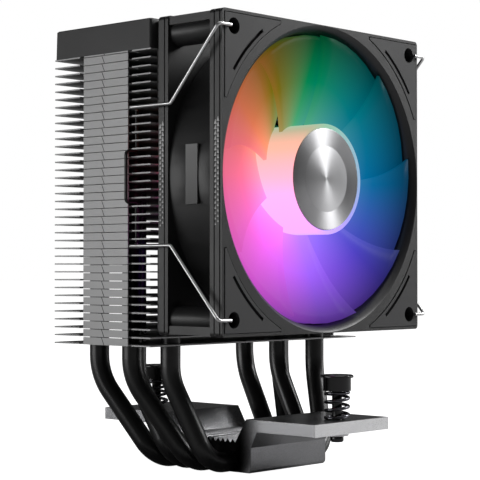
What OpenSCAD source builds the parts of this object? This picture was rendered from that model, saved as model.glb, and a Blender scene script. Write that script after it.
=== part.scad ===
// Tower cooler for a computer processor: a finned stack on four heat pipes, with one 92 mm fan on its front.
// The origin is the centre of the base's contact face; +Z points up the tower and the fan faces -Y.

/* [Fan] */
// Width and height of the fan frame
fan_w = 92; // [72:1:120]
// Depth of the fan frame
fan_d = 25; // [20:0.5:32]
// Distance from each edge of the frame to its fixing holes
fan_hole_inset = 4.75; // [4:0.25:7]
// Diameter of the fixing holes
fan_hole_d = 4.7; // [3.5:0.1:5]
// Thickness of the round duct wall
duct_wall = 1.6; // [1.2:0.1:2.5]
// Distance from the side of the frame to the outside of the duct
duct_inset = 0.6; // [0.4:0.1:2]
// Thickness of the front flange
front_flange_t = 4.7; // [3:0.1:6]
// Thickness of the rear flange
rear_flange_t = 3.8; // [3:0.1:6]
// Diameter of the rotor's hub
hub_d = 33.2; // [30:0.1:38]
// Number of blades
blade_count = 9; // [5:1:11]
// Clearance between the blade tips and the duct
tip_gap = 0.6; // [0.4:0.1:1.5]
// Height of the fan's lower edge above the lowest fin
fan_lift = 3.45; // [1:0.05:8]

/* [Fins] */
// Number of fins
fin_count = 37; // [30:1:45]
// Distance from one fin to the next
fin_pitch = 2.39; // [1.8:0.01:3]
// Thickness of a fin
fin_t = 0.4; // [0.3:0.05:0.6]
// Depth of a fin from front to back
fin_d = 41.6; // [32:0.1:55]
// How far a fin reaches past the fan on each side
fin_overhang = 1.8; // [1:0.1:4]
// Height of the lowest fin above the contact face
fin_clear_h = 38.1; // [34:0.1:60]
// Distance of the fins' middle behind the base's middle
fin_offset_y = 13.1; // [8:0.1:20]
// Gap between the fan and the fins, filled by the rear pads
fan_gap = 1.5; // [0.5:0.1:3]
// Distance from the fins' front edge to the front clip slot
slot_setback = 8.3; // [6:0.1:12]
// Length of the folded flange on each side of a fin
side_flange_l = 19.2; // [12:0.1:22]

/* [Heat pipes] */
// Diameter of a heat pipe
pipe_d = 6; // [5:0.1:8]
// Metal left between two pipes in the base
pipe_land = 1.3; // [1.3:0.1:3]
// Distance from the fins' side edges to the mean line of the pipe legs
leg_edge_x = 14.3; // [12:0.1:18]
// Sideways stagger of the two middle pipes
leg_stagger = 3.6; // [2:0.1:5]
// Distance between the two middle rows of legs
leg_middle_gap = 5.5; // [4:0.1:8]
// Distance from the fins' front and rear edges to the outer rows of legs
leg_edge_y = 5.35; // [4:0.1:8]
// Distance of the leg rows' middle behind the fins' middle
leg_shift_y = 0.65; // [0:0.05:1.5]
// Height at which the legs turn upright
leg_knee_z = 28; // [26:0.5:34]
// Distance from the base's side to the corner where the pipes turn up
base_knee_out = 9.5; // [8.5:0.5:14]
// Radius of the upper bend
upper_bend_r = 18; // [10:0.5:22]
// Radius of the lower bend
lower_bend_r = 8; // [7:0.5:9]

/* [Base] */
// Length of the base along the pipes
base_l = 35; // [25:0.5:45]
// Metal outside the outermost pipes
block_wall = 5.45; // [3:0.05:10]
// Height of the block's upright sides above the pipes
block_side_rise = 1.6; // [1:0.1:4]
// Rise of the sloped step under each wing
bevel_rise = 4.4; // [3:0.1:8]
// How far the sloped step reaches out
bevel_out = 2.2; // [1:0.1:5]
// Thickness of the wings
wing_t = 3.7; // [2.5:0.1:6]
// Distance from the screws to the ends of the wings
wing_end = 5.95; // [5:0.05:9]
// Metal between the pipes and the bottom of the trough's grooves
floor_t = 2.75; // [1.5:0.05:5]
// Distance between the small ridges on the trough's floor
ridge_pitch = 2; // [1:0.1:4]
// Height of the small ridges
ridge_h = 1.15; // [0.5:0.05:2]
// Number of small ridges
ridge_count = 13; // [7:2:15]

/* [Cover] */
// Height of the top cover
cover_h = 8.75; // [6:0.25:14]
// Wall thickness of the top cover
cover_wall = 1.6; // [1:0.1:3]

/* [Spring screws] */
// Distance between the two screws
screw_spacing = 76; // [70:1:90]
// Diameter of a screw's head
head_d = 8.4; // [7:0.1:9.5]
// Height of a screw's head
head_h = 3.9; // [3:0.1:6]
// Diameter of a screw's shank
shank_d = 3; // [2.5:0.1:4]
// Diameter of a screw's threaded end
thread_d = 4; // [3:0.1:5]
// Length of a spring as fitted
spring_l = 8.6; // [7:0.1:14]
// Outer diameter of a spring
spring_d = 7.85; // [7:0.05:8.4]
// Diameter of a spring's wire
spring_wire_d = 1; // [0.6:0.1:1.2]

/* [Wire clips] */
// Diameter of a clip's wire
wire_d = 1; // [0.8:0.05:1.3]
// Half the height of a clip's frame
clip_half_h = 20.2; // [16:0.1:24]
// Half the height of a clip's finger pull
pull_half_h = 7.5; // [5:0.1:9]
// How far the finger pull stands out from the fins
pull_out = 1.8; // [1.5:0.1:5]
// How far a clip's straight arms reach past the fan's rear face
clip_arm_reach = 7.3; // [4:0.1:12]

/* [Hidden] */
$fn = 64;

// Small amount by which a cut runs past the surface it opens.
past = 0.5;
// Gap left by solder or glue between two pieces that are fixed together.
solder_gap = 0.05;
glue_gap = 0.02;
// Radial running clearance of a turning shaft or wire.
running_gap = 0.02;
wire_gap = 0.06;

// Height of the bead where a bend joins a straight part.
joint_bead = 0.005;

// Heat pipes and base
pipe_r = pipe_d / 2;
pipe_pitch = pipe_d + pipe_land;
pipe_count = 4;
// Half width of the flattened underside of a pipe in the base, kept just inside the round.
flat_half_w = pipe_r * 0.96;
// Height of the pipes' axes in the base: the flattened underside lies just below the round.
pipe_z = pipe_r + 0.05;
block_half_w = (pipe_count - 1) / 2 * pipe_pitch + pipe_r + block_wall;
block_side_h = pipe_d + block_side_rise;
wing_under_z = block_side_h + bevel_rise;
wing_step = 0.3;
wing_top_z = wing_under_z + wing_step + wing_t;
wing_half_l = screw_spacing / 2 + wing_end;
floor_z = pipe_d + floor_t;
floor_half_w = ridge_count * ridge_pitch / 2;
trough_slope = 4.4;
contact_edge = 0.8;
base_hole_r = thread_d / 2 + 0.25;

// Fins
fin_w = fan_w + 2 * fin_overhang;
fin_front_y = fin_offset_y - fin_d / 2;
fin_top_z = fin_clear_h + (fin_count - 1) * fin_pitch + fin_t;
wire_r = wire_d / 2;
slot_half_w = wire_r + wire_gap;
front_slot_y = fin_front_y + slot_setback;
slot_margin = 1.1;
flange_gap = 0.2;
rear_slot_y = front_slot_y + 2 * slot_margin + side_flange_l;
pivot_x = fin_w / 2 - 2.5;
slot_flare_angle = 14;

// Pipe legs
leg_x = fin_w / 2 - leg_edge_x;
leg_mid_y = fin_offset_y + leg_shift_y;
leg_outer_row = fin_d / 2 - leg_edge_y;
leg_inner_row = leg_middle_gap / 2;
leg_rows = [-leg_outer_row, -leg_inner_row, leg_inner_row, leg_outer_row];
leg_shifts = [0, -leg_stagger, leg_stagger, 0];
base_knee_x = base_l / 2 + base_knee_out;
cover_z = fin_top_z + 0.01;
cover_top_z = cover_z + cover_h;
cover_roof_z = cover_top_z - cover_wall;
pipe_taper = 3;
pipe_tip_gap = 0.4;
pipe_end_z = cover_roof_z - pipe_tip_gap - pipe_taper;
socket_wall = 1.2;
socket_overlap = 0.2;
cover_corner_r = 0.8;
cover_edge = 0.35;
cavity_wall = cover_wall + 0.5;
cavity = [fin_w - 2 * cavity_wall, fin_d - 2 * cavity_wall, cover_h - cover_wall];

// Fan: its own axis is z, counted from its rear face towards its front.
fan_rear_y = fin_front_y - fan_gap;
fan_front_y = fan_rear_y - fan_d;
fan_z = fin_clear_h + fan_lift + fan_w / 2;
hole_half = fan_w / 2 - fan_hole_inset;
barrel_r = fan_w / 2 - duct_inset;
duct_r = barrel_r - duct_wall;
mouth_r = fan_w / 2 - 0.2;
mouth_depth = 4;
corner_r = 1.2;
post_w = 1.6;
sleeve_r = fan_hole_d / 2 + 1.5;
pad_edge = fan_w / 2 - 1.1;
pad_arc_r = mouth_r + 3.2;
pad_tip = sqrt(pad_arc_r * pad_arc_r - pad_edge * pad_edge) + 1.5;
pad_seat = 1;
pad_proud = 0.15;
pad_outline = 0.25;
base_disc_r = hub_d / 2 + 1.4;
base_disc_t = 2.4;
strut_w = 5;
strut_t = 3;
label_r = base_disc_r - 2;
label_t = 0.3;
cable_groove_w = 2.6;
cable_groove_depth = 1.4;

// Motor, counted from the fan's rear face
cap_t = 0.5;
hub_r = hub_d / 2;
cap_r = hub_r - 1.3;
hub_wall = 2;
hub_end_t = 1.6;
board_z = base_disc_t + 0.8;
board_t = 1;
led_h = 0.6;
hub_rear_z = board_z + board_t + led_h + 0.4;
hub_front_z = fan_d - cap_t;
yoke_r = hub_r - hub_wall - glue_gap;
yoke_wall = 0.8;
yoke_top_z = hub_front_z - hub_end_t;
yoke_rear_z = hub_rear_z + 0.6;
magnet_r = yoke_r - yoke_wall - glue_gap;
magnet_t = 1.6;
air_gap = 0.5;
core_r = magnet_r - magnet_t - air_gap;
core_mid_z = (board_z + board_t + yoke_top_z) / 2;
core_h = 6;
pole_count = 4;
insulator_t = 0.8;
coil_t = 2.2;
shaft_r = 1.5;
sleeve_outer_r = 3;
tube_outer_r = 4.4;
tube_top_z = yoke_top_z - yoke_wall - 1.2;
shaft_end_z = base_disc_t - 0.9;
clip_ring_z = base_disc_t + 0.4;
clip_ring_t = 0.4;
sleeve_rear_z = clip_ring_z + clip_ring_t + 0.4;
led_count = 6;
shoe_t = 1.8;
spoke_w = 4;
insulator_edge = 0.3;
coil_inner_w = spoke_w + 1;
coil_outer_w = coil_inner_w + 2;
coil_inner_r = tube_outer_r + 2.3;
// The coils' outer corners stay just inside the insulators' shoes.
coil_room_r = core_r - insulator_edge - shoe_t;
coil_outer_r = sqrt(coil_room_r * coil_room_r - coil_outer_w * coil_outer_w / 4) - 0.1;

// Blades
blade_t = 1.3;
blade_chord = 24;
blade_curve_r = 34;
blade_pitch_angle = 38;
blade_mid_z = (hub_rear_z + hub_front_z) / 2 - 0.5;
tip_r = duct_r - tip_gap;

// Screws: the parts above and below the wing
seat_z = wing_top_z;
head_z = seat_z + spring_l;
head_flange_d = head_d + 1.5;
head_flange_t = 0.8;
ring_t = 0.6;
ring_z = wing_under_z - 0.1 - ring_t;
foot_top_z = ring_z - 0.1;
foot_end_z = foot_top_z - 1.8;

// Clips
clip_arm_x = fin_w / 2 + wire_r + 0.15;
clip_pull_x = fin_w / 2 + pull_out;
clip_arm_y = fan_rear_y - clip_arm_reach;
hook_y = fan_front_y - pad_proud - wire_r - 0.25;
hook_tip_x = hole_half + 2;
bend_r = 1.2;

function unit(v) = v / norm(v);

// Distance from a corner to where its bend starts, for a bend of radius r.
function bend_back(before, corner, after, r) =
    let (turn = acos(unit(corner - before) * unit(after - corner)))
    r * tan(turn / 2);

// Rigid placement whose columns are three perpendicular directions and an origin.
function placement(x, y, z, at) = [
    [x[0], y[0], z[0], at[0]],
    [x[1], y[1], z[1], at[1]],
    [x[2], y[2], z[2], at[2]],
    [0, 0, 0, 1]
];

// Any direction that is perpendicular to d.
function beside(d) = unit(abs(d[2]) < 0.9 ? cross(d, [0, 0, 1]) : cross(d, [1, 0, 0]));

// A straight round rod from one point to another.
module straight_rod(start, end, r) {
    along = unit(end - start);
    side = beside(along);
    multmatrix(placement(side, cross(along, side), along, start))
        cylinder(h = norm(end - start), r = r);
}

// The bend of a round rod at one corner, with a hair-high bead where it meets each straight part.
module rod_bend(before, corner, after, bend, r) {
    along_in = unit(corner - before);
    along_out = unit(after - corner);
    turn = acos(along_in * along_out);
    inward = unit(along_out - along_in * cos(turn));
    centre = corner - along_in * bend * tan(turn / 2) + inward * bend;
    multmatrix(placement(-inward, along_in, cross(-inward, along_in), centre)) {
        rotate_extrude(angle = turn)
            translate([bend, 0])
                circle(r = r);
        for (end = [0, turn])
            rotate([0, 0, end])
                translate([bend, 0])
                    sphere(r = r + joint_bead);
    }
}

// A round rod through a list of points, with a bend of its own radius at each inner point.
module bent_rod(points, bends, r) {
    last = len(points) - 1;
    for (i = [0 : last - 1]) {
        along = unit(points[i + 1] - points[i]);
        back_start = i == 0 ? 0 : bend_back(points[i - 1], points[i], points[i + 1], bends[i - 1]);
        back_end = i == last - 1 ? 0 : bend_back(points[i], points[i + 1], points[i + 2], bends[i]);
        straight_rod(points[i] + along * back_start, points[i + 1] - along * back_end, r);
    }
    for (i = [1 : last - 1])
        rod_bend(points[i - 1], points[i], points[i + 1], bends[i - 1], r);
}

// A square plate outline with rounded corners, centred.
module rounded_rectangle(w, d, r) {
    square([w - 2 * r, d], center = true);
    square([w, d - 2 * r], center = true);
    for (x = [-1, 1], y = [-1, 1])
        translate([x * (w / 2 - r), y * (d / 2 - r)])
            circle(r = r, $fn = 32);
}

module ring(outer_r, inner_r, h) {
    difference() {
        cylinder(h = h, r = outer_r);
        translate([0, 0, -past])
            cylinder(h = h + 2 * past, r = inner_r);
    }
}

// Places the fan's own frame: its z runs from the rear face forwards, and its y points up.
module in_fan() {
    translate([0, fan_rear_y, fan_z])
        rotate([90, 0, 0])
            children();
}

// ---- Base and heat pipes ----

// Room for a pipe in the base: round above, and open to the contact face below.
module pipe_channel_section() {
    translate([0, pipe_z])
        circle(r = pipe_r + solder_gap);
    translate([-flat_half_w - solder_gap, -past])
        square([2 * (flat_half_w + solder_gap), pipe_z + past]);
}

// Section of the base across the pipes. The first coordinate is Y and the second is Z.
module base_section() {
    half = [
        [block_half_w - contact_edge, 0],
        [block_half_w, contact_edge],
        [block_half_w, block_side_h],
        [block_half_w + bevel_out, wing_under_z],
        [block_half_w + bevel_out, wing_under_z + wing_step],
        [wing_half_l, wing_under_z + wing_step],
        [wing_half_l, wing_top_z],
        [floor_half_w + trough_slope, wing_top_z],
        [floor_half_w, floor_z]
    ];
    other_half = [for (i = [len(half) - 1 : -1 : 0]) [-half[i][0], half[i][1]]];
    polygon(concat(half, other_half));
}

module ridge_section() {
    for (i = [0 : ridge_count - 1])
        translate([(i - (ridge_count - 1) / 2) * ridge_pitch, floor_z - 0.1])
            polygon([[-ridge_pitch / 2 + 0.05, 0], [ridge_pitch / 2 - 0.05, 0], [0, ridge_h + 0.1]]);
}

// Turns a Y-Z section into a bar along X.
module along_x(length) {
    translate([-length / 2, 0, 0])
        rotate([90, 0, 90])
            linear_extrude(height = length)
                children();
}

module base_block() {
    color("#3c3d40")
    difference() {
        along_x(base_l) {
            base_section();
            ridge_section();
        }
        for (i = [0 : pipe_count - 1])
            translate([0, pipe_y(i), 0])
                along_x(base_l + 2 * past)
                    pipe_channel_section();
        for (side = [-1, 1])
            translate([0, side * screw_spacing / 2, wing_under_z - past])
                cylinder(h = wing_t + 3 * past, r = base_hole_r);
    }
}

function pipe_y(i) = (i - (pipe_count - 1) / 2) * pipe_pitch;

function leg_point(i, side, z) = [side * leg_x + leg_shifts[i], leg_mid_y + leg_rows[i], z];

module heat_pipe(i) {
    knee_left = [-base_knee_x, pipe_y(i), pipe_z];
    knee_right = [base_knee_x, pipe_y(i), pipe_z];
    points = [
        leg_point(i, -1, pipe_end_z),
        leg_point(i, -1, leg_knee_z),
        knee_left,
        knee_right,
        leg_point(i, 1, leg_knee_z),
        leg_point(i, 1, pipe_end_z)
    ];
    bends = [upper_bend_r, lower_bend_r, lower_bend_r, upper_bend_r];
    color("#17181a") {
        bent_rod(points, bends, pipe_r);
        translate([-base_l / 2, pipe_y(i) - flat_half_w, 0])
            cube([base_l, 2 * flat_half_w, pipe_z]);
        for (side = [-1, 1])
            translate(leg_point(i, side, pipe_end_z))
                cylinder(h = pipe_taper, r1 = pipe_r, r2 = pipe_r / 2);
    }
}

// ---- Fins and cover ----

// Slot for a clip's wire, open to the side, with a mouth that flares so that the clip can swing.
module clip_slot(y, flare_side) {
    mouth = fin_w / 2 + past - pivot_x;
    flare = mouth * tan(slot_flare_angle);
    translate([pivot_x, y]) {
        circle(r = slot_half_w);
        polygon([
            [0, -flare_side * slot_half_w],
            [mouth, -flare_side * slot_half_w],
            [mouth, flare_side * (slot_half_w + flare)],
            [0, flare_side * slot_half_w]
        ]);
    }
}

module fin_outline() {
    difference() {
        translate([-fin_w / 2, fin_front_y])
            square([fin_w, fin_d]);
        for (i = [0 : pipe_count - 1], side = [-1, 1])
            translate([leg_point(i, side, 0)[0], leg_point(i, side, 0)[1]])
                circle(r = pipe_r + solder_gap);
        for (mirrored = [0, 1])
            mirror([mirrored, 0]) {
                clip_slot(front_slot_y, 1);
                clip_slot(rear_slot_y, -1);
            }
    }
}

// The side flanges, each folded up to the fin above.
module side_flanges() {
    flange_h = fin_pitch - flange_gap;
    for (side = [-1, 1])
        translate([side * (fin_w - fin_t) / 2, front_slot_y + slot_margin + side_flange_l / 2, flange_h / 2])
            cube([fin_t, side_flange_l, flange_h], center = true);
}

module fins() {
    color("#54565a")
    for (i = [0 : fin_count - 1])
        translate([0, 0, fin_clear_h + i * fin_pitch]) {
            linear_extrude(height = fin_t)
                fin_outline();
            if (i < fin_count - 1)
                side_flanges();
        }
}

// One layer of the cover's outside, drawn in by inset all round.
module cover_layer(z, inset) {
    translate([0, fin_offset_y, z])
        linear_extrude(height = 0.01)
            rounded_rectangle(fin_w - 2 * inset, fin_d - 2 * inset, cover_corner_r);
}

module cover_shell() {
    hull() {
        cover_layer(cover_z, 0.05);
        cover_layer(cover_top_z - cover_edge, 0.2);
        cover_layer(cover_top_z - 0.01, 0.2 + cover_edge);
    }
}

// One upright cylinder for each pipe end: the sockets' outsides, or the bores inside them.
module cover_sockets(r, start_z, end_z) {
    for (i = [0 : pipe_count - 1], side = [-1, 1])
        translate(leg_point(i, side, start_z))
            cylinder(h = end_z - start_z, r = r);
}

module top_cover() {
    color("#4a4b4e")
    difference() {
        union() {
            difference() {
                cover_shell();
                translate([-cavity[0] / 2, fin_offset_y - cavity[1] / 2, cover_z - past])
                    cube(cavity + [0, 0, past]);
            }
            cover_sockets(pipe_r + socket_wall, cover_z, cover_roof_z + socket_overlap);
        }
        cover_sockets(pipe_r + solder_gap, cover_z - past, cover_roof_z);
    }
}

// ---- Fan frame ----

module at_corner(index) {
    rotate([0, 0, 90 * (index - 1)])
        children();
}

// Outline of a corner pad in the +X +Y corner, grown by a margin.
module pad_outline_shape(grow) {
    edge = pad_edge + grow;
    tip = pad_tip - grow;
    difference() {
        translate([tip, tip])
            square(edge - tip);
        circle(r = pad_arc_r - grow, $fn = 128);
    }
}

module pad(height) {
    difference() {
        linear_extrude(height = height)
            pad_outline_shape(0);
        translate([hole_half, hole_half, -past])
            cylinder(h = height + 2 * past, r = fan_hole_d / 2);
        rotate([0, 0, 35])
            rotate_extrude(angle = 20)
                translate([pad_arc_r + 1, -past])
                    square([1, height + 2 * past]);
    }
}

module front_pad(index) {
    color("#424346")
    in_fan()
        at_corner(index)
            translate([0, 0, fan_d - pad_seat])
                pad(pad_seat + pad_proud);
}

module rear_pad(index) {
    color("#2b2c2e")
    in_fan()
        at_corner(index)
            translate([0, 0, -fan_gap])
                pad(fan_gap + pad_seat);
}

// A square flange with its shallow grooves round the edge.
module flange(z, thickness, grooves) {
    groove_w = 0.4;
    groove_depth = 0.3;
    difference() {
        translate([0, 0, z])
            linear_extrude(height = thickness)
                rounded_rectangle(fan_w, fan_w, corner_r);
        for (groove = grooves)
            translate([0, 0, groove - groove_w / 2])
                difference() {
                    linear_extrude(height = groove_w)
                        square(fan_w + 2 * past, center = true);
                    translate([0, 0, -past])
                        linear_extrude(height = groove_w + 2 * past)
                            square(fan_w - 2 * groove_depth, center = true);
                }
    }
}

// The air passage, with a rounded mouth at the front.
module duct_hole() {
    translate([0, 0, -past])
        cylinder(h = fan_d + 2 * past, r = duct_r, $fn = 128);
    lip = mouth_r - duct_r;
    translate([0, 0, fan_d - mouth_depth])
        rotate_extrude($fn = 128)
            polygon([
                [duct_r - past, 0],
                [duct_r, 0],
                [duct_r + lip * 0.15, mouth_depth * 0.45],
                [duct_r + lip * 0.45, mouth_depth * 0.78],
                [mouth_r, mouth_depth],
                [mouth_r, mouth_depth + past],
                [duct_r - past, mouth_depth + past]
            ]);
}

module corner_posts() {
    for (index = [1 : 4])
        at_corner(index) {
            translate([fan_w / 2 - corner_r - post_w, fan_w / 2 - corner_r - post_w, 0])
                cube([post_w + corner_r - 0.4, post_w + corner_r - 0.4, fan_d]);
            translate([hole_half, hole_half, 0])
                cylinder(h = fan_d, r = sleeve_r);
        }
}

// Plain raised strips on the left and right of the duct.
module side_strips() {
    strip = [0.9, 17, 4.6];
    for (side = [-1, 1])
        translate([side * (barrel_r - 0.1), 0, fan_d / 2 + 0.4])
            cube(strip, center = true);
}

// Disc behind the motor, with the tube that holds the bearing and four struts out to the duct.
module motor_mount() {
    cylinder(h = base_disc_t, r = base_disc_r);
    cylinder(h = tube_top_z, r = tube_outer_r);
    for (quarter = [0 : 3])
        rotate([0, 0, 45 + 90 * quarter])
            translate([base_disc_r - 1, -strut_w / 2, 0])
                cube([duct_r - base_disc_r + 1.8, strut_w, strut_t]);
}

// Room inside the motor mount: the bearing's seat, the label's recess and the cable's channel.
module motor_mount_cuts() {
    translate([0, 0, shaft_end_z - 0.4])
        cylinder(h = fan_d, r = sleeve_outer_r + glue_gap);
    translate([0, 0, -past])
        cylinder(h = past + label_t, r = label_r + 0.2);
    rotate([0, 0, 45])
        translate([base_disc_r, -cable_groove_w / 2, -past])
            cube([duct_r - base_disc_r, cable_groove_w, past + cable_groove_depth]);
}

module fan_frame() {
    color("#3f4043")
    in_fan()
        difference() {
            union() {
                difference() {
                    union() {
                        flange(fan_d - front_flange_t, front_flange_t, [fan_d - 0.9, fan_d - 3]);
                        flange(0, rear_flange_t, [fan_d - 22.6]);
                        cylinder(h = fan_d, r = barrel_r, $fn = 128);
                        corner_posts();
                        side_strips();
                    }
                    duct_hole();
                }
                motor_mount();
            }
            motor_mount_cuts();
            for (index = [1 : 4])
                at_corner(index) {
                    translate([hole_half, hole_half, -past])
                        cylinder(h = fan_d + 2 * past, r = fan_hole_d / 2);
                    translate([0, 0, fan_d - pad_seat])
                        linear_extrude(height = pad_seat + past)
                            pad_outline_shape(pad_outline);
                    translate([0, 0, -past])
                        linear_extrude(height = pad_seat + past)
                            pad_outline_shape(pad_outline);
                }
        }
}

// ---- Rotor ----

// Section of a blade: a shallow curve, set at the blade's angle.
module blade_section() {
    rotate(blade_pitch_angle)
        translate([0, -blade_curve_r])
            intersection() {
                difference() {
                    circle(r = blade_curve_r + blade_t / 2, $fn = 128);
                    circle(r = blade_curve_r - blade_t / 2, $fn = 128);
                }
                translate([-blade_chord / 2, blade_curve_r / 2])
                    square([blade_chord, blade_curve_r]);
            }
}

module blades() {
    difference() {
        intersection() {
            for (i = [0 : blade_count - 1])
                rotate([0, 0, 360 / blade_count * i])
                    translate([hub_r / 3, 0, blade_mid_z])
                        rotate([90, 0, 90])
                            linear_extrude(height = tip_r)
                                blade_section();
            translate([0, 0, hub_rear_z])
                cylinder(h = hub_front_z - hub_rear_z, r = tip_r, $fn = 128);
        }
        cylinder(h = fan_d, r = hub_r - 0.6);
    }
}

module impeller() {
    color("#e9d6e6", 0.6)
    in_fan() {
        difference() {
            translate([0, 0, hub_rear_z])
                cylinder(h = fan_d - hub_rear_z - 0.1, r = hub_r);
            translate([0, 0, hub_rear_z - past])
                cylinder(h = yoke_top_z - hub_rear_z + past + glue_gap, r = hub_r - hub_wall);
            translate([0, 0, hub_front_z - glue_gap])
                cylinder(h = fan_d, r = cap_r + glue_gap);
        }
        blades();
    }
}

module hub_cap() {
    color("#b9babd")
    in_fan()
        translate([0, 0, hub_front_z])
            cylinder(h = cap_t, r = cap_r);
}

module rotor_yoke() {
    color("#8c8d90")
    in_fan()
        difference() {
            translate([0, 0, yoke_rear_z])
                cylinder(h = yoke_top_z - yoke_rear_z, r = yoke_r);
            translate([0, 0, yoke_rear_z - past])
                cylinder(h = yoke_top_z - yoke_wall - yoke_rear_z + past, r = yoke_r - yoke_wall);
            cylinder(h = fan_d, r = shaft_r);
        }
}

module magnet_ring() {
    color("#2e2b2a")
    in_fan()
        translate([0, 0, core_mid_z - core_h / 2 - 1])
            ring(magnet_r, magnet_r - magnet_t, core_h + 2);
}

module shaft() {
    color("#cfd1d4")
    in_fan()
        difference() {
            translate([0, 0, shaft_end_z])
                cylinder(h = yoke_top_z - shaft_end_z, r = shaft_r);
            translate([0, 0, clip_ring_z])
                ring(shaft_r + past, shaft_r - 0.4, clip_ring_t);
        }
}

module shaft_clip() {
    color("#a8a9ab")
    in_fan()
        translate([0, 0, clip_ring_z + 0.02])
            rotate([0, 0, 30])
                rotate_extrude(angle = 300)
                    translate([shaft_r - 0.38, 0])
                        square([1.1, clip_ring_t - 0.04]);
}

// ---- Fixed half of the motor ----

module bearing_sleeve() {
    color("#b08d4f")
    in_fan()
        translate([0, 0, sleeve_rear_z])
            ring(sleeve_outer_r, shaft_r + running_gap, tube_top_z - sleeve_rear_z);
}

// A hub with straight arms and curved pole shoes, cut from the disc of radius r.
module pole_outline(r, arm_w, gap_w) {
    difference() {
        circle(r = r);
        difference() {
            circle(r = r - shoe_t);
            circle(r = tube_outer_r + 2);
            for (i = [0 : pole_count / 2 - 1])
                rotate(180 / pole_count * 2 * i)
                    square([2 * r, arm_w], center = true);
        }
        for (i = [0 : pole_count / 2 - 1])
            rotate(180 / pole_count * (2 * i + 1))
                for (end = [-1, 1])
                    translate([end * r, 0])
                        square([5, gap_w], center = true);
        circle(r = tube_outer_r + glue_gap);
    }
}

module stator_core() {
    color("#6d6f72")
    in_fan()
        translate([0, 0, core_mid_z - core_h / 2])
            linear_extrude(height = core_h)
                pole_outline(core_r, spoke_w, 1.6);
}

module stator_insulator() {
    color("#d8d4c8")
    in_fan()
        for (z = [core_mid_z - core_h / 2 - insulator_t - 0.01, core_mid_z + core_h / 2 + 0.01])
            translate([0, 0, z])
                linear_extrude(height = insulator_t)
                    pole_outline(core_r - insulator_edge, spoke_w + 2 * insulator_edge, 2);
}

// One coil is a rectangular ring wound round a spoke and its insulators.
module stator_coils() {
    length = coil_outer_r - coil_inner_r;
    inner_h = core_h + 2 * insulator_t + 0.2;
    color("#b4662f")
    in_fan()
        for (i = [0 : pole_count - 1])
            rotate([0, 0, 360 / pole_count * i])
                translate([coil_inner_r + length / 2, 0, core_mid_z])
                    difference() {
                        cube([length, coil_outer_w, inner_h + coil_t], center = true);
                        cube([length + 2 * past, coil_inner_w, inner_h], center = true);
                    }
}

module motor_board() {
    color("#1f4d33")
    in_fan()
        translate([0, 0, board_z])
            ring(base_disc_r - 0.6, tube_outer_r + 0.1, board_t);
}

module leds() {
    color("white")
    in_fan()
        for (i = [0 : led_count - 1])
            rotate([0, 0, 360 / led_count * i])
                translate([hub_r - hub_wall / 2, 0, board_z + board_t + led_h / 2])
                    cube([1.6, 2, led_h], center = true);
}

module motor_label() {
    color("#3a3a3c")
    in_fan()
        cylinder(h = label_t - 0.01, r = label_r);
}

// ---- Wire clips ----

// The upper half of a clip on the +X side, from its finger pull round to its hook.
function clip_half_points() =
    let (
        top = fan_z + clip_half_h,
        pull = fan_z + pull_half_h,
        hook_z = fan_z + hole_half
    ) [
        [clip_pull_x, front_slot_y, fan_z],
        [clip_pull_x, front_slot_y, pull],
        [pivot_x, front_slot_y, pull],
        [pivot_x, front_slot_y, top],
        [clip_arm_x, front_slot_y, top],
        [clip_arm_x, clip_arm_y, top],
        [clip_arm_x, hook_y, hook_z],
        [hook_tip_x, hook_y, hook_z]
    ];

module clip_half() {
    points = clip_half_points();
    bends = [for (i = [1 : len(points) - 2]) bend_r];
    bent_rod(points, bends, wire_r);
}

module clip() {
    color("#b9bbbe") {
        clip_half();
        translate([0, 0, 2 * fan_z])
            mirror([0, 0, 1])
                clip_half();
    }
}

module clip_right() {
    clip();
}

module clip_left() {
    mirror([1, 0, 0])
        clip();
}

// ---- Spring screws ----

module at_screw(side) {
    translate([0, side * screw_spacing / 2, 0])
        children();
}

module cross_recess() {
    translate([0, 0, head_z + head_h + head_flange_t - 1.6])
        for (angle = [0, 90])
            rotate([0, 0, angle])
                translate([-2.2, -0.5, 0])
                    cube([4.4, 1, 1.6 + past]);
}

module screw(side) {
    color("#26272a")
    at_screw(side)
        difference() {
            rotate_extrude()
                polygon([
                    [0, foot_end_z],
                    [thread_d / 2 - 0.4, foot_end_z],
                    [thread_d / 2, foot_end_z + 0.4],
                    [thread_d / 2, foot_top_z],
                    [shank_d / 2, foot_top_z],
                    [shank_d / 2, head_z],
                    [head_d / 2, head_z],
                    [head_d / 2, head_z + head_h],
                    [head_flange_d / 2, head_z + head_h],
                    [head_flange_d / 2, head_z + head_h + head_flange_t - 0.3],
                    [head_flange_d / 2 - 0.3, head_z + head_h + head_flange_t],
                    [0, head_z + head_h + head_flange_t]
                ]);
            cross_recess();
        }
}

// Height of a spring's centre line: closed for half a turn at each end, and rising evenly between.
function coil_height(turn, turns, rise) =
    rise * min(max((turn - 0.5) / (turns - 1), 0), 1);

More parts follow.
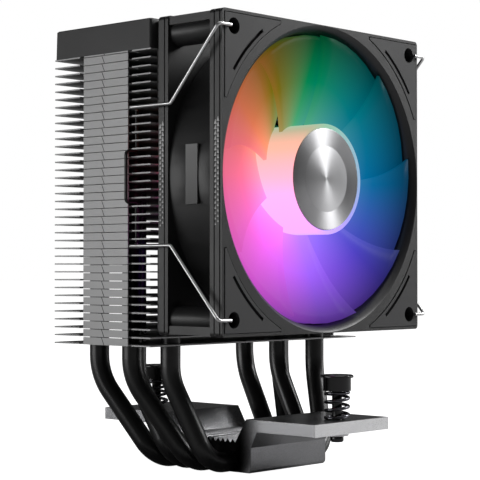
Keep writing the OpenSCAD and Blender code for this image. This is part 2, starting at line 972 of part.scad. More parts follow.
module spring(side) {
    turns = 4;
    steps = 24;
    sides = 10;
    mean_r = (spring_d - spring_wire_d) / 2;
    wire = spring_wire_d / 2;
    rise = spring_l - spring_wire_d - 0.1;
    count = turns * steps;
    rings = [
        for (i = [0 : count])
            let (
                around = 360 * i / steps,
                z = coil_height(i / steps, turns, rise) + seat_z + wire + 0.05
            )
            [for (j = [0 : sides - 1])
                let (r = mean_r + wire * cos(360 * j / sides))
                [r * cos(around), r * sin(around), z + wire * sin(360 * j / sides)]]
    ];
    points = [for (one = rings) for (p = one) p];
    walls = [
        for (i = [0 : count - 1], j = [0 : sides - 1])
            let (next = (j + 1) % sides)
            [i * sides + j, i * sides + next, (i + 1) * sides + next, (i + 1) * sides + j]
    ];
    first_end = [for (j = [sides - 1 : -1 : 0]) j];
    last_end = [for (j = [0 : sides - 1]) count * sides + j];
    color("#2b2c2e")
    at_screw(side)
        polyhedron(points = points, faces = concat(walls, [first_end, last_end]));
}

module retaining_ring(side) {
    color("#8d8f92")
    at_screw(side)
        translate([0, 0, ring_z])
            rotate([0, 0, 35])
                rotate_extrude(angle = 290)
                    translate([shank_d / 2 + 0.05, 0])
                        square([1.9, ring_t]);
}

base_block();
heat_pipe(0);  // heat_pipe_1
heat_pipe(1);  // heat_pipe_2
heat_pipe(2);  // heat_pipe_3
heat_pipe(3);  // heat_pipe_4
fins();
top_cover();
fan_frame();
front_pad(1);  // front_pad_1
front_pad(2);  // front_pad_2
front_pad(3);  // front_pad_3
front_pad(4);  // front_pad_4
rear_pad(1);  // rear_pad_1
rear_pad(2);  // rear_pad_2
rear_pad(3);  // rear_pad_3
rear_pad(4);  // rear_pad_4
impeller();
hub_cap();
rotor_yoke();
magnet_ring();
shaft();
shaft_clip();
bearing_sleeve();
stator_core();
stator_insulator();
stator_coils();
motor_board();
leds();
motor_label();
clip_left();
clip_right();
screw(-1);  // screw_front
screw(1);  // screw_rear
spring(-1);  // spring_front
spring(1);  // spring_rear
retaining_ring(-1);  // retaining_ring_front
retaining_ring(1);  // retaining_ring_rear
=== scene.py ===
"""The looks of a tower cooler for a computer processor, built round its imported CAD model."""

import math

import bpy
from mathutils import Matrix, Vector


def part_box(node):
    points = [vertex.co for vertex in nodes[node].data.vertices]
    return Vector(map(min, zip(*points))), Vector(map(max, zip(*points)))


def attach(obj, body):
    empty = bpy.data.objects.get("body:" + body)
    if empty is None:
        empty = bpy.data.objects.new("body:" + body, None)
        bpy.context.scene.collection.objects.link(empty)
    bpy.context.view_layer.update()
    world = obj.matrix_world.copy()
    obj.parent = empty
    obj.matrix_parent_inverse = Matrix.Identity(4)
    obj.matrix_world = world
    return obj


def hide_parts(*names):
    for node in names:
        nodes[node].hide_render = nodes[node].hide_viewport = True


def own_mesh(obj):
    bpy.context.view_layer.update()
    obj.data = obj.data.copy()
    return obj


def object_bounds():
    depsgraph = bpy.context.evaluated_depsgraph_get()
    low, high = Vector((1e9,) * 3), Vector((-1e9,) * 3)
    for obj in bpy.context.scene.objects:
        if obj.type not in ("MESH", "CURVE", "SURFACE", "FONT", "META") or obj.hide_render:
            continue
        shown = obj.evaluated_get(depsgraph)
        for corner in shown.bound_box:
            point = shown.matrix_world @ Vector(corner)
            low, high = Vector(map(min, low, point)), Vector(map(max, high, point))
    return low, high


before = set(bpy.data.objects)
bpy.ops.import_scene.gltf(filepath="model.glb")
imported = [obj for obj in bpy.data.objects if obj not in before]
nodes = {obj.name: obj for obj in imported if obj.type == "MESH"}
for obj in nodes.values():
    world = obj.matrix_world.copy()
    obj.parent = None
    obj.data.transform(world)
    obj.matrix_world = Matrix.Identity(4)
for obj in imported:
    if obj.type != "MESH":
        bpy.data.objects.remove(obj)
cad_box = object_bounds()

MM = 0.001

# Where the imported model's pieces are.
fan_low, fan_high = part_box("fan_frame")
fan_middle = (fan_low + fan_high) / 2
fan_front = fan_low.y
fan_origin = Vector((fan_middle.x, fan_front, fan_middle.z))
fin_low, fin_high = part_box("fins")
base_end, wing_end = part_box("base_block")[1].xy
cap_low, cap_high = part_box("hub_cap")
cap_radius = (cap_high.x - cap_low.x) / 2
hub_radius = cap_radius + 1.3 * MM
hub_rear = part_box("impeller")[1].y

# A face counts as an end face when it is this near to the end of its piece.
END_MARGIN = 0.1 * MM

# The painted highlight on the raised strip at each side of the frame.
STRIP_X = 45.25 * MM
STRIP_Y = fan_middle.y - 0.4 * MM
STRIP_HALF_W = 2.3 * MM
STRIP_HALF_H = 8.5 * MM

# The fins' flanges and the slanted joint that crosses each of them.
FIN_THICKNESS = 0.4 * MM
FIN_COUNT = 37
FIN_PITCH = (fin_high.z - fin_low.z - FIN_THICKNESS) / (FIN_COUNT - 1)
FLANGE_JOINT_Y = 11.8 * MM
FLANGE_JOINT_LEAN = 1.2 * MM
FLANGE_JOINT_W = 0.3 * MM

# Half the height over which the clips are painted black, a painted dark reflection on the bright wire.
DARK_REFLECTION_HALF_H = 19.4 * MM

# Painted shade of the pipes on the block's end faces: dark in the middle, brightening between these
# distances from it.
PIPE_SHADE_FADE_IN = 15 * MM
PIPE_SHADE_FADE_OUT = 23 * MM

# The blades, whose roots start deeper than their tips.
BLADES = 9
BLADE_THICKNESS = 1.1 * MM
BLADE_START = math.radians(-9)
BLADE_ROOT_R = hub_radius - 0.6 * MM
BLADE_STATIONS = 14
BLADE_CHORDS = 12
ROOT_SPREAD, TIP_SPREAD = math.radians(46), math.radians(90)
TIP_SWEEP = math.radians(10)
ROOT_FRONT, TIP_FRONT = 11 * MM, 1.4 * MM
ROOT_BACK, TIP_BACK = 16 * MM, 8 * MM
BLADE_CAMBER = 0.1

# The disc on the hub has a raised middle with a sloping edge, and a brushed ring round it.
INNER_DISC_R = 9.8 * MM
DISC_SLOPE_W = 0.2 * MM
DISC_FACE = 0.02 * MM
RING_FACE = 0.12 * MM

# Columns of small triangles on the frame's sides.
GRIP_PITCH = 1.5 * MM
GRIP_HALF_H = 15 * MM
GRIP_WIDTH = 1.0 * MM
GRIP_TALL = 0.46 * GRIP_PITCH
GRIP_PROUD = 0.06 * MM
GRIP_SUNK = -0.1 * MM

# The springs' coils.
SPRING_WIRE_R = 0.5 * MM
SPRING_TURNS = 4
SPRING_STEPS = 40
SPRING_SIDES = 12


def reach_from_fan_axis(node):
    """The largest distance of a CAD node's points from the fan's axis."""
    return max(
        math.hypot(v.co.x - fan_middle.x, v.co.z - fan_middle.z) for v in nodes[node].data.vertices
    )


def between(low, high, share):
    """The number that lies a given share of the way from one number to another."""
    return low + (high - low) * share


tip_radius = reach_from_fan_axis("impeller")


# ---- Mesh helpers ----


def new_piece(name, points, faces, material, body, location=(0, 0, 0), smooth=True):
    """A mesh piece of the object, riding on a body, with its material."""
    mesh = bpy.data.meshes.new(name)
    mesh.from_pydata([tuple(p) for p in points], [], faces)
    mesh.update()
    piece = bpy.data.objects.new(name, mesh)
    bpy.context.scene.collection.objects.link(piece)
    piece.location = location
    mesh.materials.append(material)
    for polygon in mesh.polygons:
        polygon.use_smooth = smooth
    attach(piece, body)
    return piece


def grid_faces(rows, columns, closed_rows=False, closed_columns=False):
    """Quads over a grid of points stored row by row."""
    faces = []
    for i in range(rows if closed_rows else rows - 1):
        for j in range(columns if closed_columns else columns - 1):
            next_i = (i + 1) % rows
            next_j = (j + 1) % columns
            faces.append(
                (i * columns + j, i * columns + next_j, next_i * columns + next_j, next_i * columns + j)
            )
    return faces


def bevel(piece, width, segments=2, angle=30):
    """Rounds a piece's sharp edges without changing its own mesh."""
    weld = piece.modifiers.new("weld", "WELD")
    weld.merge_threshold = 1e-6
    modifier = piece.modifiers.new("bevel", "BEVEL")
    modifier.width = width
    modifier.segments = segments
    modifier.limit_method = "ANGLE"
    modifier.angle_limit = math.radians(angle)
    modifier.harden_normals = False


def tube_points(path, radius, sides):
    """Rings of points round a path, kept from twisting by carrying each ring's frame to the next."""
    count = len(path)
    tangents = [
        (path[min(i + 1, count - 1)] - path[max(i - 1, 0)]).normalized() for i in range(count)
    ]
    side = tangents[0].orthogonal().normalized()
    points = []
    for at, along in zip(path, tangents):
        side = (side - along * side.dot(along)).normalized()
        other = along.cross(side)
        for j in range(sides):
            angle = 2 * math.pi * j / sides
            points.append(at + (side * math.cos(angle) + other * math.sin(angle)) * radius)
    return points


# ---- Materials ----


def principled(name, base, metallic=0.0, roughness=0.5):
    """A new material, its node tree and its shader."""
    material = bpy.data.materials.new(name)
    material.use_nodes = True
    tree = material.node_tree
    shader = tree.nodes["Principled BSDF"]
    shader.inputs["Base Color"].default_value = (*base, 1)
    shader.inputs["Metallic"].default_value = metallic
    shader.inputs["Roughness"].default_value = roughness
    return material, tree, shader


def add_node(tree, kind, **settings):
    """A node of one kind, with its properties set by name."""
    node = tree.nodes.new(kind)
    for key, value in settings.items():
        setattr(node, key, value)
    return node


def place(tree):
    """A point on the object, in the object's own coordinates, in metres."""
    return add_node(tree, "ShaderNodeTexCoord").outputs["Object"]


def along_axes(tree):
    """The three coordinates of a point on the object, in metres."""
    separate = add_node(tree, "ShaderNodeSeparateXYZ")
    tree.links.new(place(tree), separate.inputs["Vector"])
    return separate.outputs["X"], separate.outputs["Y"], separate.outputs["Z"]


def calculate(tree, operation, *values):
    """One sum on sockets or plain numbers."""
    node = add_node(tree, "ShaderNodeMath", operation=operation)
    for socket, value in zip(node.inputs, values):
        if isinstance(value, (int, float)):
            socket.default_value = value
        else:
            tree.links.new(value, socket)
    return node.outputs["Value"]


def distance_from_axis(tree):
    """The distance of a point from the object's own y axis, in metres."""
    x, _, z = along_axes(tree)
    squares = calculate(tree, "ADD", calculate(tree, "POWER", x, 2), calculate(tree, "POWER", z, 2))
    return calculate(tree, "SQRT", squares)


def mix_colours(tree, factor, low, high):
    """Mixes two colours, each given as a socket or as three numbers."""
    node = add_node(tree, "ShaderNodeMix", data_type="RGBA")
    tree.links.new(factor, node.inputs[0])
    for socket, value in ((node.inputs[6], low), (node.inputs[7], high)):
        if isinstance(value, tuple):
            socket.default_value = (*value, 1)
        else:
            tree.links.new(value, socket)
    return node.outputs[2]


def linear(colour):
    """The linear light of a colour given as three screen values from 0 to 1."""
    return tuple(c / 12.92 if c < 0.04045 else ((c + 0.055) / 1.055) ** 2.4 for c in colour)


def noise(tree, scale, detail=2.0, stretch=(1, 1, 1)):
    """Cloudy noise that can be stretched along the axes."""
    mapping = add_node(tree, "ShaderNodeMapping")
    mapping.inputs["Scale"].default_value = stretch
    tree.links.new(place(tree), mapping.inputs["Vector"])
    texture = add_node(tree, "ShaderNodeTexNoise")
    texture.inputs["Scale"].default_value = scale
    texture.inputs["Detail"].default_value = detail
    tree.links.new(mapping.outputs["Vector"], texture.inputs["Vector"])
    return texture.outputs["Fac"]


def ramp(tree, factor, low, high, start=0.0, end=1.0):
    """Maps a factor between two numbers."""
    node = add_node(tree, "ShaderNodeMapRange")
    node.inputs["From Min"].default_value = start
    node.inputs["From Max"].default_value = end
    node.inputs["To Min"].default_value = low
    node.inputs["To Max"].default_value = high
    tree.links.new(factor, node.inputs["Value"])
    return node.outputs["Result"]


def vary_roughness(tree, shader, factor, low, high):
    """Lets a factor move the shader's roughness between two numbers."""
    tree.links.new(ramp(tree, factor, low, high), shader.inputs["Roughness"])


def bump(tree, shader, height, distance, strength=1.0):
    """Raises the surface by a height, without changing its mesh."""
    node = add_node(tree, "ShaderNodeBump")
    node.inputs["Distance"].default_value = distance
    node.inputs["Strength"].default_value = strength
    tree.links.new(height, node.inputs["Height"])
    tree.links.new(node.outputs["Normal"], shader.inputs["Normal"])


def moulded_plastic(name, base, roughness=0.5):
    """Dark plastic with a fine eroded grain."""
    material, tree, shader = principled(name, base, 0, roughness)
    grain = noise(tree, 6000, 1)
    vary_roughness(tree, shader, noise(tree, 90, 3), roughness - 0.06, roughness + 0.06)
    bump(tree, shader, grain, 0.02 * MM, 0.6)
    return material


def drawn_metal(name, base, roughness, stretch):
    """Metal with fine lines along one direction."""
    material, tree, shader = principled(name, base, 1, roughness)
    lines = noise(tree, 900, 3, stretch)
    vary_roughness(tree, shader, lines, roughness - 0.08, roughness + 0.1)
    bump(tree, shader, lines, 0.01 * MM, 0.5)
    return material


def plated_black(name, base=0.006, roughness=0.3):
    """Glossy black plating with slightly uneven gloss."""
    material, tree, shader = principled(name, (base, base, base * 1.05), 0, roughness)
    vary_roughness(tree, shader, noise(tree, 250, 4), roughness - 0.05, roughness + 0.07)
    return material


def duct_plastic():
    """The frame's plastic, with a painted highlight on the raised side strips that fades downwards."""
    plain = (0.012, 0.012, 0.0125)
    material = moulded_plastic("frame_plastic", plain, 0.42)
    tree = material.node_tree
    shader = tree.nodes["Principled BSDF"]
    x, y, z = along_axes(tree)
    height = calculate(tree, "SUBTRACT", z, fan_middle.z)
    at_side = calculate(tree, "GREATER_THAN", calculate(tree, "ABSOLUTE", x), STRIP_X)
    across = calculate(tree, "ABSOLUTE", calculate(tree, "SUBTRACT", y, STRIP_Y))
    on_strip = calculate(
        tree,
        "MULTIPLY",
        calculate(tree, "LESS_THAN", across, STRIP_HALF_W),
        calculate(tree, "LESS_THAN", calculate(tree, "ABSOLUTE", height), STRIP_HALF_H),
    )
    # Painted highlight: paler at the top of each side strip, fading downwards.
    highlight_fade = ramp(tree, height, 0.0, 0.9, -STRIP_HALF_H, STRIP_HALF_H)
    painted_highlight = calculate(tree, "MULTIPLY", calculate(tree, "MULTIPLY", at_side, on_strip), highlight_fade)
    tree.links.new(mix_colours(tree, painted_highlight, plain, (0.16, 0.16, 0.16)), shader.inputs["Base Color"])
    return material


def plated_fin():
    """Satin sheet whose side flanges are each crossed by a slanted dark joint."""
    base = (0.34, 0.34, 0.342)
    material, tree, shader = principled("fin_metal", base, 0.35, 0.42)
    x, y, z = along_axes(tree)
    pitches = calculate(tree, "DIVIDE", calculate(tree, "SUBTRACT", z, fin_low.z), FIN_PITCH)
    lean = calculate(tree, "MULTIPLY", calculate(tree, "FRACT", pitches), FLANGE_JOINT_LEAN)
    joint_y = calculate(tree, "ADD", lean, FLANGE_JOINT_Y)
    away = calculate(tree, "ABSOLUTE", calculate(tree, "SUBTRACT", y, joint_y))
    at_side = calculate(tree, "GREATER_THAN", calculate(tree, "ABSOLUTE", x), fin_high.x - END_MARGIN)
    dark_joint_and_pipe_shade = calculate(tree, "MULTIPLY", calculate(tree, "LESS_THAN", away, FLANGE_JOINT_W / 2), at_side)
    tree.links.new(mix_colours(tree, dark_joint_and_pipe_shade, base, (0.004, 0.004, 0.004)), shader.inputs["Base Color"])
    lines = noise(tree, 900, 3, (1, 30, 1))
    vary_roughness(tree, shader, lines, 0.36, 0.5)
    bump(tree, shader, lines, 0.008 * MM, 0.5)
    return material


def clip_with_painted_dark_reflection():
    """Bright wire whose upright run and finger pull are painted black, a painted dark reflection."""
    steel = (0.6, 0.6, 0.6)
    material, tree, shader = principled("clip_steel", steel, 1, 0.3)
    z = along_axes(tree)[2]
    from_middle = calculate(tree, "ABSOLUTE", calculate(tree, "SUBTRACT", z, fan_middle.z))
    # Painted dark reflection: black and not metallic across the middle band of the clip.
    painted_dark_reflection = calculate(tree, "LESS_THAN", from_middle, DARK_REFLECTION_HALF_H)
    tree.links.new(mix_colours(tree, painted_dark_reflection, steel, (0.006, 0.006, 0.006)), shader.inputs["Base Color"])
    tree.links.new(calculate(tree, "SUBTRACT", 1, painted_dark_reflection), shader.inputs["Metallic"])
    vary_roughness(tree, shader, noise(tree, 400, 2), 0.28, 0.4)
    return material


def plated_base_with_painted_light():
    """Dark plated metal, with a painted highlight on the wings' end faces and painted shade of the pipes
    in the middle of the block's end faces.
    """
    plated = (0.3, 0.3, 0.31)
    material, tree, shader = principled("base_metal", plated, 1, 0.3)
    x, y, _ = along_axes(tree)
    # Painted highlight: the wings' end faces are made almost white.
    end = calculate(tree, "GREATER_THAN", calculate(tree, "ABSOLUTE", y), wing_end - END_MARGIN)
    with_painted_end_highlight = mix_colours(tree, end, plated, (0.92, 0.92, 0.93))
    # Painted shade: the block's end faces darken towards the middle, where the pipes stand in front.
    at_block_end_face = calculate(tree, "GREATER_THAN", calculate(tree, "ABSOLUTE", x), base_end - END_MARGIN)
    pipe_shade_fade = ramp(tree, calculate(tree, "ABSOLUTE", y), 1, 0, PIPE_SHADE_FADE_IN, PIPE_SHADE_FADE_OUT)
    dark_joint_and_pipe_shade = calculate(tree, "MULTIPLY", at_block_end_face, pipe_shade_fade)
    tree.links.new(mix_colours(tree, dark_joint_and_pipe_shade, with_painted_end_highlight, (0.02, 0.02, 0.02)), shader.inputs["Base Color"])
    lines = noise(tree, 900, 3, (1, 40, 40))
    vary_roughness(tree, shader, lines, 0.2, 0.38)
    bump(tree, shader, lines, 0.01 * MM, 0.5)
    return material


frame_plastic = duct_plastic()
pad_rubber = moulded_plastic("pad_rubber", (0.024, 0.024, 0.025), 0.62)
cover_plastic = moulded_plastic("cover_plastic", (0.023, 0.023, 0.0235), 0.46)
fin_metal = plated_fin()
base_metal = plated_base_with_painted_light()
pipe_plate = plated_black("pipe_plate")
screw_plate = plated_black("screw_plate", 0.002, 0.18)
spring_steel = drawn_metal("spring_steel", (0.10, 0.10, 0.11), 0.22, (1, 1, 1))
bright_steel = drawn_metal("bright_steel", (0.62, 0.62, 0.63), 0.2, (1, 1, 20))
bronze = drawn_metal("bronze", (0.55, 0.38, 0.16), 0.4, (1, 1, 1))
copper = drawn_metal("copper", (0.60, 0.27, 0.12), 0.3, (1, 1, 1))
dark_magnet = moulded_plastic("dark_magnet", (0.05, 0.045, 0.04), 0.6)
insulator_plastic = moulded_plastic("insulator_plastic", (0.75, 0.72, 0.62), 0.45)
board_mask = moulded_plastic("board_mask", (0.02, 0.14, 0.06), 0.3)
label_film = moulded_plastic("label_film", (0.03, 0.03, 0.033), 0.35)
led_body = moulded_plastic("led_body", (0.9, 0.9, 0.9), 0.3)
grip_paint = moulded_plastic("grip_paint", (0.6, 0.6, 0.6), 0.5)
clip_steel = clip_with_painted_dark_reflection()

NODE_MATERIALS = {
    "base_block": base_metal,
    "fins": fin_metal,
    "top_cover": cover_plastic,
    "fan_frame": frame_plastic,
    "rotor_yoke": bright_steel,
    "magnet_ring": dark_magnet,
    "shaft": bright_steel,
    "shaft_clip": bright_steel,
    "bearing_sleeve": bronze,
    "stator_core": spring_steel,
    "stator_insulator": insulator_plastic,
    "stator_coils": copper,
    "motor_board": board_mask,
    "leds": led_body,
    "motor_label": label_film,
    "clip_left": clip_steel,
    "clip_right": clip_steel,
    "screw_front": screw_plate,
    "screw_rear": screw_plate,
    "retaining_ring_front": bright_steel,
    "retaining_ring_rear": bright_steel,
}
NODE_MATERIALS.update({f"heat_pipe_{i}": pipe_plate for i in range(1, 5)})
NODE_MATERIALS.update({f"{end}_pad_{i}": pad_rubber for end in ("front", "rear") for i in range(1, 5)})

for name, material in NODE_MATERIALS.items():
    mesh = nodes[name].data
    mesh.materials.clear()
    mesh.materials.append(material)

for name in ("base_block", "screw_front", "screw_rear", "fan_frame"):
    bevel(nodes[name], 0.2 * MM)
bevel(nodes["top_cover"], 0.3 * MM)


# ---- The lit rotor ----


# Plain colours of the light round the fan's axis, by the hour of a clock seen from the front.
LAMP_RING = (
    (0.0, (0.0, 0.5, 0.3)),  # green
    (1.5, (0.0, 0.45, 0.5)),  # teal
    (3.0, (0.0, 0.4, 0.6)),  # blue
    (4.5, (0.3, 0.25, 0.75)),  # indigo
    (6.0, (0.6, 0.35, 0.95)),  # violet
    (7.5, (0.95, 0.4, 0.95)),  # magenta
    (9.0, (1.0, 0.45, 0.6)),  # pink
    (10.0, (0.85, 0.45, 0.3)),  # orange
    (11.0, (0.45, 0.4, 0.05)),  # olive
    (12.0, (0.0, 0.5, 0.3)),  # green
)
WHITE = (1.0, 1.0, 1.0)
BLACK = (0.0, 0.0, 0.0)

# How bright the light is: fullest at the hub, less in the middle, least at the rim away from the left.
GLOW_STRENGTH = 1.6
GLOW_MIDDLE_R = 30 * MM
GLOW_MIDDLE_SHARE = 0.65
RIM_LOSS_LEFT, RIM_LOSS_RIGHT = 0.2, 0.75


def colour_wheel(tree, x, z):
    """The lamps' colour at a place round the fan's axis."""
    turns = calculate(tree, "DIVIDE", calculate(tree, "ARCTAN2", x, z), 2 * math.pi)
    wheel = add_node(tree, "ShaderNodeValToRGB")
    elements = wheel.color_ramp.elements
    while len(elements) < len(LAMP_RING):
        elements.new(0.5)
    for element, (hour, colour) in zip(elements, LAMP_RING):
        element.position = hour / 12
        element.color = (*linear(colour), 1)
    tree.links.new(calculate(tree, "FRACT", calculate(tree, "ADD", turns, 1)), wheel.inputs["Fac"])
    return wheel.outputs["Color"]


def glow_material(name, paleness):
    """Frosted plastic lit from inside, paler and brighter towards the hub."""
    material, tree, shader = principled(name, (0.004, 0.004, 0.004), 0, 0.45)
    shader.inputs["Specular IOR Level"].default_value = 0.02
    shader.inputs["Emission Strength"].default_value = GLOW_STRENGTH
    x, _, z = along_axes(tree)
    radius = distance_from_axis(tree)
    near_hub = ramp(tree, radius, 1, 0, hub_radius, GLOW_MIDDLE_R)
    near_rim = ramp(tree, radius, 0, 1, GLOW_MIDDLE_R, tip_radius)
    loss = calculate(
        tree, "MULTIPLY", near_rim, ramp(tree, x, RIM_LOSS_LEFT, RIM_LOSS_RIGHT, -tip_radius, 0)
    )
    light = calculate(
        tree, "MULTIPLY", ramp(tree, near_hub, GLOW_MIDDLE_SHARE, 1), calculate(tree, "SUBTRACT", 1, loss)
    )
    pale = calculate(tree, "MULTIPLY", near_hub, paleness)
    colour = mix_colours(tree, pale, colour_wheel(tree, x, z), WHITE)
    tree.links.new(mix_colours(tree, light, BLACK, colour), shader.inputs["Emission Color"])
    vary_roughness(tree, shader, noise(tree, 60, 2), 0.4, 0.5)
    return material


blade_glow = glow_material("blade_glow", 0.05)
hub_glow = glow_material("hub_glow", 0.2)


def blade_points(index):
    """The middle surface of one blade, in coordinates about the fan's axis at its front plane."""
    points = []
    for i in range(BLADE_STATIONS):
        out = i / (BLADE_STATIONS - 1)
        radius = between(BLADE_ROOT_R, tip_radius, out)
        spread = between(ROOT_SPREAD, TIP_SPREAD, out)
        front = between(ROOT_FRONT, TIP_FRONT, out)
        back = between(ROOT_BACK, TIP_BACK, out)
        start = 2 * math.pi * index / BLADES + BLADE_START + TIP_SWEEP * out * out
        for j in range(BLADE_CHORDS):
            along = j / (BLADE_CHORDS - 1)
            angle = start - spread * along
            depth = between(front, back, along - BLADE_CAMBER * math.sin(math.pi * along))
            points.append((radius * math.sin(-angle), depth, radius * math.cos(angle)))
    return points


def build_blades():
    """All the blades as one piece, given their thickness by a modifier."""
    points = []
    faces = []
    for index in range(BLADES):
        start = len(points)
        points += blade_points(index)
        faces += [tuple(start + k for k in face) for face in grid_faces(BLADE_STATIONS, BLADE_CHORDS)]
    piece = new_piece("impeller_blades", points, faces, blade_glow, "rotor", fan_origin)
    solid = piece.modifiers.new("thickness", "SOLIDIFY")
    solid.thickness = BLADE_THICKNESS
    solid.offset = 0


def lathe(name, profile, material, body, steps=96):
    """A turned piece about the fan's axis: profile holds (radius, distance behind the front plane)."""
    points = []
    for k in range(steps):
        angle = 2 * math.pi * k / steps
        for radius, back in profile:
            points.append((radius * math.cos(angle), back, radius * math.sin(angle)))
    faces = grid_faces(steps, len(profile), closed_rows=True)
    return new_piece(name, points, faces, material, body, fan_origin)


def build_hub():
    """The barrel, a turned shell whose front rim holds the metal disc."""
    rim = cap_radius + 0.15 * MM
    back = hub_rear - fan_front
    wall = 2 * MM
    profile = [
        (rim, 0.8 * MM),
        (rim, 0.25 * MM),
        (rim + 0.15 * MM, 0.1 * MM),
        (hub_radius - 0.3 * MM, 0.1 * MM),
        (hub_radius - 0.06 * MM, 0.2 * MM),
        (hub_radius, 0.5 * MM),
        (hub_radius, back - 0.4 * MM),
        (hub_radius - 0.3 * MM, back),
        (hub_radius - wall, back),
        (hub_radius - wall, 2.4 * MM),
    ]
    hub = lathe("impeller_hub", profile, hub_glow, "rotor")
    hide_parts("impeller")


def spun_metal():
    """Metal turned in circles about its own middle, which spreads highlights along the radius."""
    material, tree, shader = principled("spun_metal", (0.45, 0.45, 0.46), 1, 0.55)
    radius = distance_from_axis(tree)
    brushed = ramp(tree, radius, 0.7, 0.94, INNER_DISC_R, INNER_DISC_R + 0.1 * MM)
    tree.links.new(brushed, shader.inputs["Anisotropic"])
    shader.inputs["Anisotropic Rotation"].default_value = 0.25
    tangent = add_node(tree, "ShaderNodeTangent", direction_type="RADIAL", axis="Y")
    tree.links.new(tangent.outputs["Tangent"], shader.inputs["Tangent"])
    return material


def build_cap():
    """The metal disc; the second point on the ring keeps the slope's shading to the slope."""
    r = cap_radius
    profile = [
        (0.01 * MM, DISC_FACE),
        (INNER_DISC_R - DISC_SLOPE_W, DISC_FACE),
        (INNER_DISC_R, RING_FACE),
        (INNER_DISC_R + DISC_SLOPE_W, RING_FACE),
        (r - 0.35 * MM, RING_FACE),
        (r - 0.1 * MM, 0.2 * MM),
        (r, 0.4 * MM),
        (r, 0.9 * MM),
    ]
    cap = lathe("hub_cap_disc", profile, spun_metal(), "rotor")
    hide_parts("hub_cap")


build_blades()
build_hub()
build_cap()

# ---- Grip pattern on the frame's sides ----


def grip_points(side, column_y, proud):
    """Two columns of small flat triangles that point upwards on one side of the frame."""
    points = []
    rows = round(2 * GRIP_HALF_H / GRIP_PITCH)
    x = side * (fan_high.x + proud)
    for column in range(2):
        y = column_y + (column - 0.5) * GRIP_WIDTH
        for row in range(rows):
            z = fan_middle.z + GRIP_HALF_H - (row + 0.5 * column) * GRIP_PITCH
            shrink = 1 - 0.5 * row / rows
            half = GRIP_WIDTH / 2 * shrink
            tall = GRIP_TALL * shrink
            points += [(x, y - half, z - tall), (x, y + half, z - tall), (x, y, z + tall)]
    return points


def build_grip(name, side, column_y):
    """The triangles as low prisms sunk a little into the frame."""
    top = grip_points(side, column_y, GRIP_PROUD)
    foot = grip_points(side, column_y, GRIP_SUNK)
    count = len(top)
    faces = []
    for a in range(0, count, 3):
        b, c = a + 1, a + 2
        prism = [(a, b, c), (a + count, c + count, b + count)]
        prism += [(i, i + count, j + count, j) for i, j in ((a, b), (b, c), (c, a))]
        faces += [face if side < 0 else face[::-1] for face in prism]
    new_piece(name, top + foot, faces, grip_paint, "cooler", smooth=False)


for side_name, side in (("left", -1), ("right", 1)):
    build_grip(f"grip_{side_name}_front", side, fan_front + 2.05 * MM)
    build_grip(f"grip_{side_name}_rear", side, fan_high.y - 1.2 * MM)

# ---- Springs ----


def build_spring(side):
    """A coil spring with flat end turns."""
    low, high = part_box(f"spring_{side}")
    middle = (low + high) / 2
    coil_radius = (high.x - low.x) / 2 - SPRING_WIRE_R
    rise = high.z - low.z - 2 * SPRING_WIRE_R
    path = []
    for k in range(SPRING_TURNS * SPRING_STEPS + 1):
        turn = k / SPRING_STEPS
        lift = min(max((turn - 0.5) / (SPRING_TURNS - 1), 0), 1)
        angle = 2 * math.pi * turn
        x = middle.x + coil_radius * math.cos(angle)
        y = middle.y + coil_radius * math.sin(angle)
        path.append(Vector((x, y, low.z + SPRING_WIRE_R + rise * lift)))
    points = tube_points(path, SPRING_WIRE_R, SPRING_SIDES)
    faces = grid_faces(len(path), SPRING_SIDES, closed_columns=True)
    faces.append(tuple(range(SPRING_SIDES))[::-1])
    faces.append(tuple(range(len(points) - SPRING_SIDES, len(points))))
    spring = new_piece(f"spring_{side}_coil", points, faces, spring_steel, "cooler")
    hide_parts(f"spring_{side}")
    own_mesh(spring)


for side in ("front", "rear"):
    build_spring(side)

# ---- Stage, light and camera ----

LIGHT_TARGET = Vector((0, 0, 70 * MM))


def build_stage():
    """A white paper floor, bright to the camera, that still takes a faint shadow."""
    half = 6
    corners = [(-half, -half, 0), (half, -half, 0), (half, half, 0), (-half, half, 0)]
    mesh = bpy.data.meshes.new("floor")
    mesh.from_pydata(corners, [], [(0, 1, 2, 3)])
    floor = bpy.data.objects.new("floor", mesh)
    bpy.context.scene.collection.objects.link(floor)
    material, tree, shader = principled("floor_paper", (0.5, 0.5, 0.5), 0, 0.9)
    path = add_node(tree, "ShaderNodeLightPath")
    shader.inputs["Emission Color"].default_value = (1, 1, 1, 1)
    tree.links.new(ramp(tree, path.outputs["Is Camera Ray"], 0, 1.0), shader.inputs["Emission Strength"])
    mesh.materials.append(material)
    floor.location.z = -0.05 * MM


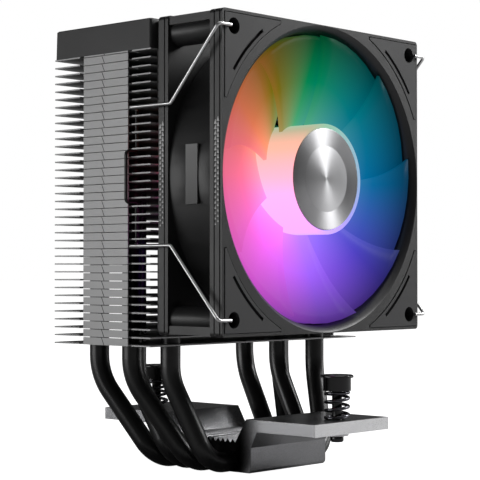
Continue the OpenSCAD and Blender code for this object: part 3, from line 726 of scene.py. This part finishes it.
def area_light(name, position, size, power):
    """A rectangular softbox aimed near the cooler's middle."""
    data = bpy.data.lights.new(name, "AREA")
    data.shape = "RECTANGLE"
    data.size, data.size_y = size
    data.energy = power
    light = bpy.data.objects.new(name, data)
    bpy.context.scene.collection.objects.link(light)
    light.location = position
    light.rotation_euler = (LIGHT_TARGET - Vector(position)).to_track_quat("-Z", "Y").to_euler()


def build_world():
    """A world that is white to the camera and lights the cooler only faintly."""
    world = bpy.data.worlds.new("studio")
    bpy.context.scene.world = world
    world.use_nodes = True
    tree = world.node_tree
    background = tree.nodes["Background"]
    background.inputs["Color"].default_value = (1, 1, 1, 1)
    path = tree.nodes.new("ShaderNodeLightPath")
    dim = tree.nodes.new("ShaderNodeMapRange")
    dim.inputs["To Min"].default_value = 0.06
    dim.inputs["To Max"].default_value = 1.0
    tree.links.new(path.outputs["Is Camera Ray"], dim.inputs["Value"])
    tree.links.new(dim.outputs["Result"], background.inputs["Strength"])


def build_camera():
    """A long lens at the front left, a little below the cooler's middle."""
    low, high = Vector(cad_box[0]), Vector(cad_box[1])
    aim = (low + high) / 2 + Vector((-0.5, 0.4, 3)) * MM
    yaw, pitch, distance = math.radians(47.76), math.radians(1.115), 0.4931
    look = Vector((math.sin(yaw) * math.cos(pitch), math.cos(yaw) * math.cos(pitch), math.sin(pitch)))
    data = bpy.data.cameras.new("camera")
    data.lens = 117.96
    data.sensor_width = 36
    data.clip_start = 0.01
    camera = bpy.data.objects.new("camera", data)
    bpy.context.scene.collection.objects.link(camera)
    camera.location = aim - look * distance
    camera.rotation_euler = look.to_track_quat("-Z", "Y").to_euler()
    bpy.context.scene.camera = camera


build_stage()
build_world()
build_camera()
area_light("front_softbox", (0.74, -0.52, 0.66), (0.4, 0.4), 9.5)
area_light("left_softbox", (-0.98, 0.5, 0.09), (0.8, 0.35), 4.6)
area_light("right_strip", (0.95, -0.35, 0.1), (0.2, 0.5), 1.6)
area_light("top_softbox", (0.1, -0.1, 0.9), (0.7, 0.7), 2)
bpy.context.scene.view_settings.view_transform = "Standard"
